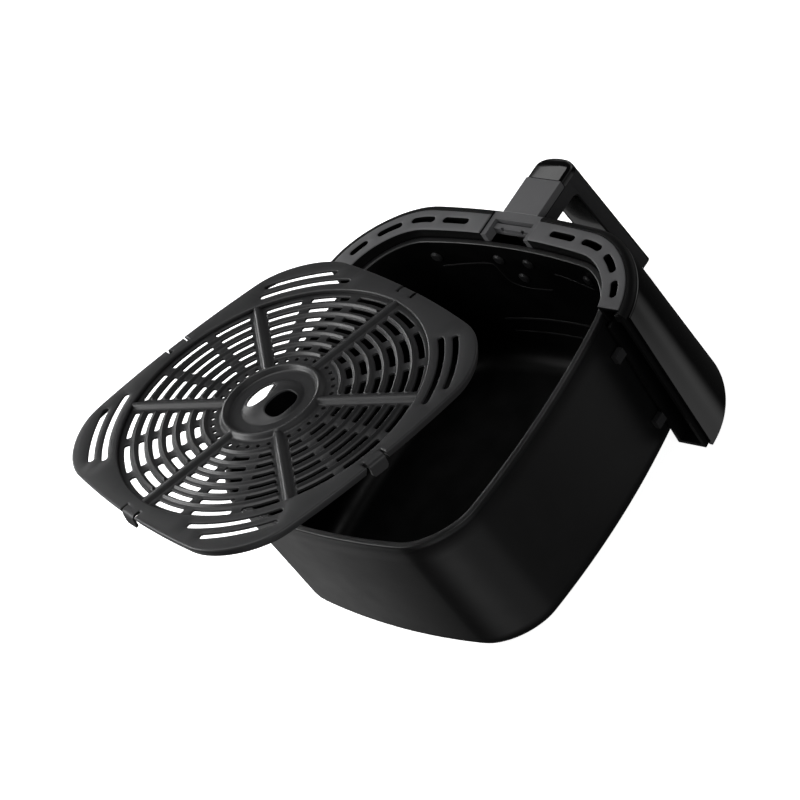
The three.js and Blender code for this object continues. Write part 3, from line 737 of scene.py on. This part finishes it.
def plate_height(x, y):
    """Height of the plate's floor, with its dome, hub, ribs and ridges."""
    r = hypot(x, y)
    if r < DOME_RADIUS:
        share = max(0, (r - DOME_FLAT) / (DOME_RADIUS - DOME_FLAT))
        return FLOOR + DOME_HEIGHT * (1 - share ** 2.1)
    if r < 22:
        return FLOOR
    off_rib = off_spoke(x, y)
    z = float(np.interp(r, *zip(*HUB)))
    if r > HUB_OUT:
        z = max(z, FLOOR + RIB_HEIGHT * (1 - smooth((off_rib - RIB_FLAT) / RIB_SLOPE)))
    for ridge in RIDGES:
        d = abs(r - ridge)
        if d < RIDGE_HALF:
            ends = smooth((off_rib - 4.5) / 1.3)
            z += RIDGE_HEIGHT * ends * 0.5 * (1 + cos(pi * d / RIDGE_HALF))
    return z


def tip_width(t):
    """A slot's share of its full width at a distance from its end."""
    return 0.0 if t <= 0 else (1 - max(0, 1 - t / 1.2) ** 2.5) ** 0.4


def rib_columns(mid, inner, offsets):
    """One sector's columns, with those on the ribs at its two sides."""
    return [*[(mid - 30, off, 0.0) for off in offsets], *inner,
            *[(mid + 30, -off, 0.0) for off in reversed(offsets[1:])]]


def slot_columns():
    """Columns (degrees, millimetres along the arc, share of the slot's width) of the slotted band."""
    tips = (-0.3, 0.0, 0.12, 0.4, 0.8, 1.2)
    columns = []
    for mid in range(0, 360, 60):
        inner = []
        stops = [(mid - 30, 5.0, 0.0), (mid - 10.3, 2.4, 0.35), (mid + 10.3, 2.4, 0.35),
                 (mid + 30, 5.0, 0.0)]
        for i, (a, b) in enumerate(zip(stops, stops[1:])):
            inner += [(a[0] + a[2], a[1] + t, tip_width(t)) for t in tips]
            inner += [("between", k / 4, 1.0) for k in (1, 2, 3)]
            inner += [(b[0] - b[2], -b[1] - t, tip_width(t)) for t in reversed(tips)]
            if i < 2:
                inner.append((b[0], 0.0, 0.0))
        columns += rib_columns(mid, inner, (0, 0.7, 1.3, 1.9, 2.5, 3.2, 4.0))
    return columns


def dot_columns():
    """The same for the band of small round holes."""
    steps = ((-1.5, 0), (-1.25, 0), (-1.1, 0.5), (-0.75, 0.92), (0, 1), (0.75, 0.92), (1.1, 0.5),
             (1.25, 0), (1.5, 0))
    columns = []
    for mid in range(0, 360, 60):
        inner = [(mid - 20.6 + 10.3 * k, t, f) for k in range(5) for t, f in steps]
        columns += rib_columns(mid, inner, (0, 0.7, 1.3, 1.9, 2.5, 3.2))
    return columns


def angle_at(columns, index, r):
    a, b, _ = columns[index]
    if a != "between":
        return a + degrees(b / max(r, 32))
    first = last = index
    while columns[first][0] == "between":
        first -= 1
    while columns[last][0] == "between":
        last += 1
    return between(b, angle_at(columns, first, r), angle_at(columns, last, r))


def band(points, cells, columns, rows, half):
    """A warped polar grid. Rows are radii, or (radius, side, margin) beside a ring of slots."""
    grid = []
    for row in rows:
        line = []
        for i, column in enumerate(columns):
            if isinstance(row, tuple):
                radius, side, margin = row
                r = radius + side * (half * column[2] + margin)
            else:
                r = row
            a = radians(angle_at(columns, i, r))
            line.append(len(points))
            points.append((r * cos(a), r * sin(a)))
        grid.append(line)
    n = len(columns)
    for k, (upper, lower) in enumerate(zip(grid, grid[1:])):
        if all(isinstance(row, tuple) and row[2] == 0 for row in rows[k:k + 2]):
            continue
        for i in range(n):
            j = (i + 1) % n
            cells.append((upper[i], upper[j], lower[j], lower[i]))
    return grid[0], grid[-1]


def zip_loops(points, cells, outer, inner):
    """Triangles between two rings of different counts."""
    def turn(i):
        return degrees(atan2(points[i][1], points[i][0])) % 360
    a = sorted(outer, key=turn)
    b = sorted(inner, key=turn)
    i = j = 0
    while i < len(a) or j < len(b):
        next_a = turn(a[(i + 1) % len(a)]) + (360 if i + 1 >= len(a) else 0)
        next_b = turn(b[(j + 1) % len(b)]) + (360 if j + 1 >= len(b) else 0)
        if j >= len(b) or (i < len(a) and next_a <= next_b):
            cells.append((a[i % len(a)], a[(i + 1) % len(a)], b[j % len(b)]))
            i += 1
        else:
            cells.append((a[i % len(a)], b[(j + 1) % len(b)], b[j % len(b)]))
            j += 1


def finger_hole(side, steps=44):
    loop = []
    turn = radians(5)
    for k in range(steps):
        a = -2 * pi * k / steps
        x = 6.7 * np.sign(cos(a)) * abs(cos(a)) ** 0.82 + side * 8.9
        y = 10.2 * np.sign(sin(a)) * abs(sin(a)) ** 0.82
        loop.append((x * cos(turn) - y * sin(turn), x * sin(turn) + y * cos(turn)))
    return loop


def arc_slot(radius, width, mid, half, steps=14):
    """A round-ended arc slot, clockwise."""
    r = width / 2
    reach = half - degrees(r / radius)

    def arc(at, first, last):
        turns = [radians(between(k / steps, first, last)) for k in range(steps + 1)]
        return [(at * cos(a), at * sin(a)) for a in turns]

    def round_end(sign, angles):
        a = radians(mid + sign * reach)
        c = Vector((radius * cos(a), radius * sin(a)))
        out, along = Vector((cos(a), sin(a))), Vector((-sin(a), cos(a))) * sign
        return [tuple(c + along * r * cos(radians(d)) + out * r * sin(radians(d))) for d in angles]
    return [*arc(radius + r, mid + reach, mid - reach), *round_end(-1, (60, 30, 0, -30, -60)),
            *arc(radius - r, mid - reach, mid + reach), *round_end(1, (-60, -30, 0, 30, 60))]


def edge_at(angle):
    """How far the plate's edge is from its centre, in the middle of a side."""
    return (PLATE_HALF_X if angle % 180 == 0 else PLATE_HALF_Y) + PLATE_BOW


def border_outline():
    """The plate's outline, with a slit each side of the four bent tabs."""
    out, slit = [], set()
    for x, y in bowed(PLATE_HALF_X, PLATE_HALF_Y, PLATE_RADIUS, PLATE_BOW, 22, 26):
        if min(abs(x), abs(y)) > TAB_CUT:
            out.append((x, y))
            continue
        angle = 0 if x > 50 else 180 if x < -50 else 90 if y > 0 else 270
        if angle in slit:
            continue
        slit.add(angle)
        edge, c, s = edge_at(angle), cos(radians(angle)), sin(radians(angle))
        right = [(edge - 0.05, -TAB_CUT), (edge - 0.02, -TAB_SLIT), (edge - 5, -TAB_SLIT),
                 (edge - 5, -TAB_HALF), (edge - 3.4, -TAB_HALF)]
        local = right + [(u, -v) for u, v in reversed(right)]
        out += [(u * c - v * s, u * s + v * c) for u, v in local]
    return out


def add_tab(shell, angle):
    """The tongue that bends down from the plate's edge."""
    thick, bend, face = 1.5, 2.6, edge_at(angle) + 0.45
    path = [(face - 5.05, 0.0, 0.0)]
    for k in range(7):
        a = pi / 2 * k / 6
        path.append((face - bend + bend * sin(a), -bend + bend * cos(a), a))
    path += [(face, -7.2, pi / 2), (face, -8.9, pi / 2)]
    c, s = cos(radians(angle)), sin(radians(angle))
    loops = []
    for u, z, a in path:
        half = 5.4 if z > -8 else 4.2
        low_u, low_z = u - thick * sin(a), z - thick * cos(a)
        ring = [(u, -half, z), (u, half, z), (low_u, half, low_z), (low_u, -half, low_z)]
        loops.append(shell.loop([(p * c - q * s, p * s + q * c, w - 0.02) for p, q, w in ring]))
    shell.tube(loops)


def sheet_solid(shell, points, cells, chamfer, rim_radius):
    """Gives a flat net of cells its height, thickness and edges."""
    key, lookup, unique = {}, [], []
    for x, y in points:
        k = (round(x, 4), round(y, 4))
        if k not in key:
            key[k] = len(unique)
            unique.append((x, y))
        lookup.append(key[k])
    faces, uses = [], {}
    for cell in cells:
        ids = list(dict.fromkeys(lookup[i] for i in cell))
        area = sum(unique[a][0] * unique[b][1] - unique[b][0] * unique[a][1]
                   for a, b in zip(ids, ids[1:] + ids[:1]))
        if len(ids) < 3 or abs(area) < 1e-7:
            continue
        if area < 0:
            ids.reverse()
        faces.append(ids)
        for a, b in zip(ids, ids[1:] + ids[:1]):
            uses.setdefault((min(a, b), max(a, b)), []).append((a, b))
    edges = [u[0] for u in uses.values() if len(u) == 1]
    on_edge = {i for e in edges for i in e if hypot(*unique[i]) < rim_radius}
    heights = [plate_height(x, y) for x, y in unique]
    top = shell.loop([(x, y, heights[i] - (chamfer if i in on_edge else 0))
                      for i, (x, y) in enumerate(unique)])
    low = shell.loop([(x, y, heights[i] - SHEET) for i, (x, y) in enumerate(unique)])
    for ids in faces:
        shell.faces.append(tuple(top[i] for i in ids))
        shell.faces.append(tuple(low[i] for i in reversed(ids)))
    for a, b in edges:
        shell.faces.append((top[b], top[a], low[a], low[b]))


def clear_of(p, loop, margin=0.5):
    """True if a point is outside a loop and not close to it."""
    inside, near = False, False
    n = len(loop)
    for i in range(n):
        (x0, y0), (x1, y1) = loop[i], loop[(i + 1) % n]
        if (y0 > p.y) != (y1 > p.y) and p.x < x0 + (p.y - y0) * (x1 - x0) / (y1 - y0):
            inside = not inside
        if hypot(p.x - x0, p.y - y0) < margin:
            near = True
    return not inside and not near


def add_centre(points, cells, ring):
    """The hub's floor and dome inside a ring of points, with its two finger holes."""
    holes = [finger_hole(1), finger_hole(-1)]
    soft = [inset(h, 0.35) for h in holes]
    extra = []
    for r in (24.5, 22.5, 20.6, 19.4, 18.9, 18.6, 18.2, 17.6, 16.9, 16.2, 15.2, 14, 12.5, 11, 9, 7,
              5, 3, 1):
        count = max(6, int(2 * pi * r / 1.3))
        for k in range(count):
            p = Vector((r * cos(2 * pi * k / count), r * sin(2 * pi * k / count)))
            if all(clear_of(p, h) for h in soft):
                extra.append((p.x, p.y))
    loops = [[points[i] for i in ring], *soft]
    start = len(points)
    points += [tuple(p) for loop in loops for p in loop] + extra
    cells += [tuple(start + k for k in tri) for tri in triangulate(loops, extra)]
    for hole, wide in zip(holes, soft):
        n = len(hole)
        a, b = len(points), len(points) + n
        points += [tuple(p) for p in hole] + [tuple(p) for p in wide]
        cells += [(a + k, a + (k + 1) % n, b + (k + 1) % n, b + k) for k in range(n)]


def make_plate():
    points, cells = [], []
    rows = [93.0, 91.0, 90.2]
    for ring, ridge in zip(RINGS, RIDGES):
        rows += [(ring, 1, 0.25), (ring, 1, 0), (ring, -1, 0), (ring, -1, 0.25)]
        rows += [ridge + d for d in (1.5, 1.15, 0.8, 0.4, 0, -0.4, -0.8, -1.15, -1.5)]
    rows += [38.6]
    _, slots_low = band(points, cells, slot_columns(), rows, RING_SLOT_HALF)
    rows = [38.0, (DOT_RING, 1, 0.2), (DOT_RING, 1, 0), (DOT_RING, -1, 0), (DOT_RING, -1, 0.2)]
    rows += [33.4, 32.2, *[r for r, _ in reversed(HUB[1:-1])]]
    dots_top, dots_low = band(points, cells, dot_columns(), rows, DOT_HALF)
    zip_loops(points, cells, slots_low, dots_top)
    add_centre(points, cells, dots_low)
    shell = Shell()
    sheet_solid(shell, points, cells, 0.25, 92.5)

    count = 220
    turns = [-2 * pi * k / count for k in range(count)]
    recess = [(PLATE_RECESS * cos(a), PLATE_RECESS * sin(a)) for a in turns]
    border = round_edge(1.2, 0.0) + [(0.25, -2.2), (1.2, -5.1), (1.5, -5.6), (2.3, -5.6),
                                     (2.5, -5.1), (1.5, -SHEET)]
    step = round_edge(0.8, 0.0, 3) + [(0, -3.2), (1.3, -3.2), (1.3, -SHEET)]
    slot_edge = round_edge(0.35, 0.0, 2) + [(0, -SHEET)]
    slots = []
    for q in range(4):
        slots.append(arc_slot(99.7, 3.8, 41.7 + 90 * q, 16.4))
        slots.append(arc_slot(107.9, 3.8, 44.1 + 90 * q, 12.2))
    shell.slab([(border_outline(), border), (recess, step), *[(s, slot_edge) for s in slots]])
    for angle in (0, 90, 180, 270):
        add_tab(shell, angle)
    finish_piece("crisper_plate_ribbed", shell, PLATE_COAT, "crisper",
                 "crisper_plate", smooth=46, place=PLATE_PLACE)


# ---- carried-over CAD nodes ---------------------------------------------------------------------
def finish_node(name, mat, bevel=0.0):
    node = NODES[name]
    node.data.materials.clear()
    node.data.materials.append(mat)
    if bevel:
        soften(node, bevel, 2)


PAN = make_pan()
make_beads()
make_trim(1, "trim_left", "rim_trim_left")
make_trim(-1, "trim_right", "rim_trim_right")
make_skin()
make_frame()
CAP = make_handle()
make_plate()
finish_node("trim_bridge", TRIM_PLASTIC, 0.4)
finish_node("latch_plate", TRIM_PLASTIC, 0.3)
finish_node("handle_bracket", STEEL, 0.3)
for name in sorted(NODES):
    if name.startswith("side_clip"):
        finish_node(name, CLIP_PLASTIC, 0.4)
    elif "screw" in name:
        finish_node(name, SCREW_STEEL)


# ---- floor, light and camera --------------------------------------------------------------------
def stage_object(name, build):
    """An object of the set, its mesh drawn by build, and its new material."""
    mesh = bpy.data.meshes.new(name)
    bm = bmesh.new()
    build(bm)
    bm.to_mesh(mesh)
    bm.free()
    piece = add_object(name, mesh)
    mat = bpy.data.materials.new(name)
    mat.use_nodes = True
    mesh.materials.append(mat)
    return piece, mat


def stage_white(name, height, strength, build):
    """A plain white surround seen by the camera only, so it casts nothing on the part."""
    piece, mat = stage_object(name, build)
    piece.location.z = height
    piece.visible_glossy = piece.visible_diffuse = piece.visible_shadow = False
    shader = mat.node_tree.nodes["Principled BSDF"]
    shader.inputs["Base Color"].default_value = (0.92, 0.92, 0.92, 1)
    shader.inputs["Roughness"].default_value = 1
    shader.inputs["Specular IOR Level"].default_value = 0
    shader.inputs["Emission Color"].default_value = (1, 1, 1, 1)
    shader.inputs["Emission Strength"].default_value = strength


def glow(name, height, base, spots, build):
    """A dim studio surround seen only in reflections. Spots are (x, y, radius, strength)."""
    piece, mat = stage_object(name, build)
    piece.location.z = height
    piece.visible_camera = piece.visible_diffuse = piece.visible_shadow = False
    tree = mat.node_tree
    tree.nodes.clear()
    out = tree.nodes.new("ShaderNodeOutputMaterial")
    emit = tree.nodes.new("ShaderNodeEmission")
    coords = tree.nodes.new("ShaderNodeTexCoord")
    total = None
    for x, y, radius, strength in spots:
        reach = tree.nodes.new("ShaderNodeVectorMath")
        reach.operation = "DISTANCE"
        reach.inputs[1].default_value = (x, y, 0)
        tree.links.new(coords.outputs["Object"], reach.inputs[0])
        fall = tree.nodes.new("ShaderNodeMapRange")
        fall.interpolation_type = "SMOOTHSTEP"
        fall.inputs["From Min"].default_value = radius
        fall.inputs["From Max"].default_value = 0
        fall.inputs["To Min"].default_value = 0
        fall.inputs["To Max"].default_value = strength
        tree.links.new(reach.outputs["Value"], fall.inputs["Value"])
        join = tree.nodes.new("ShaderNodeMath")
        join.operation = "ADD"
        join.inputs[0].default_value = base
        if total:
            tree.links.new(total.outputs[0], join.inputs[0])
        tree.links.new(fall.outputs["Result"], join.inputs[1])
        total = join
    tree.links.new(total.outputs[0], emit.inputs["Strength"])
    tree.links.new(emit.outputs[0], out.inputs["Surface"])
    mat.cycles.emission_sampling = "NONE"


def light(name, place, aim, size, power, only=()):
    """A rectangular lamp. If pieces are given, it lights only those."""
    data = bpy.data.lights.new(name, "AREA")
    data.shape = "RECTANGLE"
    data.size, data.size_y = size
    data.energy = power
    lamp = add_object(name, data)
    lamp.location = place
    lamp.rotation_euler = (Vector(aim) - Vector(place)).to_track_quat("-Z", "Y").to_euler()
    lamp.visible_camera = False
    if only:
        lit = bpy.data.collections.new(name + "_receivers")
        for piece in only:
            lit.objects.link(piece)
        lamp.light_linking.receiver_collection = lit


def plane(size):
    return lambda bm: bmesh.ops.create_grid(bm, x_segments=2, y_segments=2, size=size)


def studio():
    stage_white("floor", -0.0005, 0.9, plane(6))
    stage_white("backdrop", 0, 1.0,
                lambda bm: bmesh.ops.create_uvsphere(bm, u_segments=48, v_segments=24, radius=9))
    world = bpy.data.worlds.new("studio")
    world.use_nodes = True
    world.node_tree.nodes["Background"].inputs["Color"].default_value = (1, 1, 1, 1)
    world.node_tree.nodes["Background"].inputs["Strength"].default_value = 0.025
    bpy.context.scene.world = world
    light("key_left", (0.62, 0.6, 0.72), (0, 0, 0.12), (0.45, 0.45), 8)
    light("low_left", (1.35, -0.24, 0.36), (0, 0, 0.12), (0.5, 0.4), 6)
    light("top_soft", (0.35, -0.1, 2.0), (0, 0, 0.1), (1.2, 1.2), 14)
    light("side_fill", (-1.5, 0.5, 0.5), (0, 0, 0.06), (1.0, 0.6), 8)
    light("rim_line", (-1.05, -0.67, 1.2), (-0.1, 0, 0.11), (0.3, 0.3), 4, [PAN])
    light("handle_shine", (0.95, -0.72, 1.1), (0, -0.16, 0.11), (0.5, 0.5), 1.1, [CAP])
    low_spots = [(-0.95, -0.74, 0.5, 0.42), (-0.55, -1.05, 0.45, 0.3), (1.1, 0.45, 0.6, 0.7),
                 (-0.45, 1.05, 0.6, 1.15), (-0.95, 0.45, 0.7, 0.5)]
    glow("studio_glow", -0.8, 0.012, low_spots, plane(2.5))
    glow("studio_wall", 0, 0.22, [(2.0, 1.7, 1.6, 0.5), (-0.8, -2.5, 1.3, 0.5)],
         lambda bm: bmesh.ops.create_cone(bm, segments=48, radius1=2.6, radius2=2.6, depth=1.6))


def camera():
    data = bpy.data.cameras.new("camera")
    data.sensor_width = 36
    data.lens = 147.185
    data.clip_start, data.clip_end = 0.05, 50
    cam = add_object("camera", data)
    cam.location = (-1.3172, 0.70627, 1.27657)
    cam.rotation_euler = [radians(turn) for turn in (45.163, 28.938, -143.48)]
    bpy.context.scene.camera = cam


studio()
camera()
bpy.context.scene.view_settings.view_transform = "Standard"
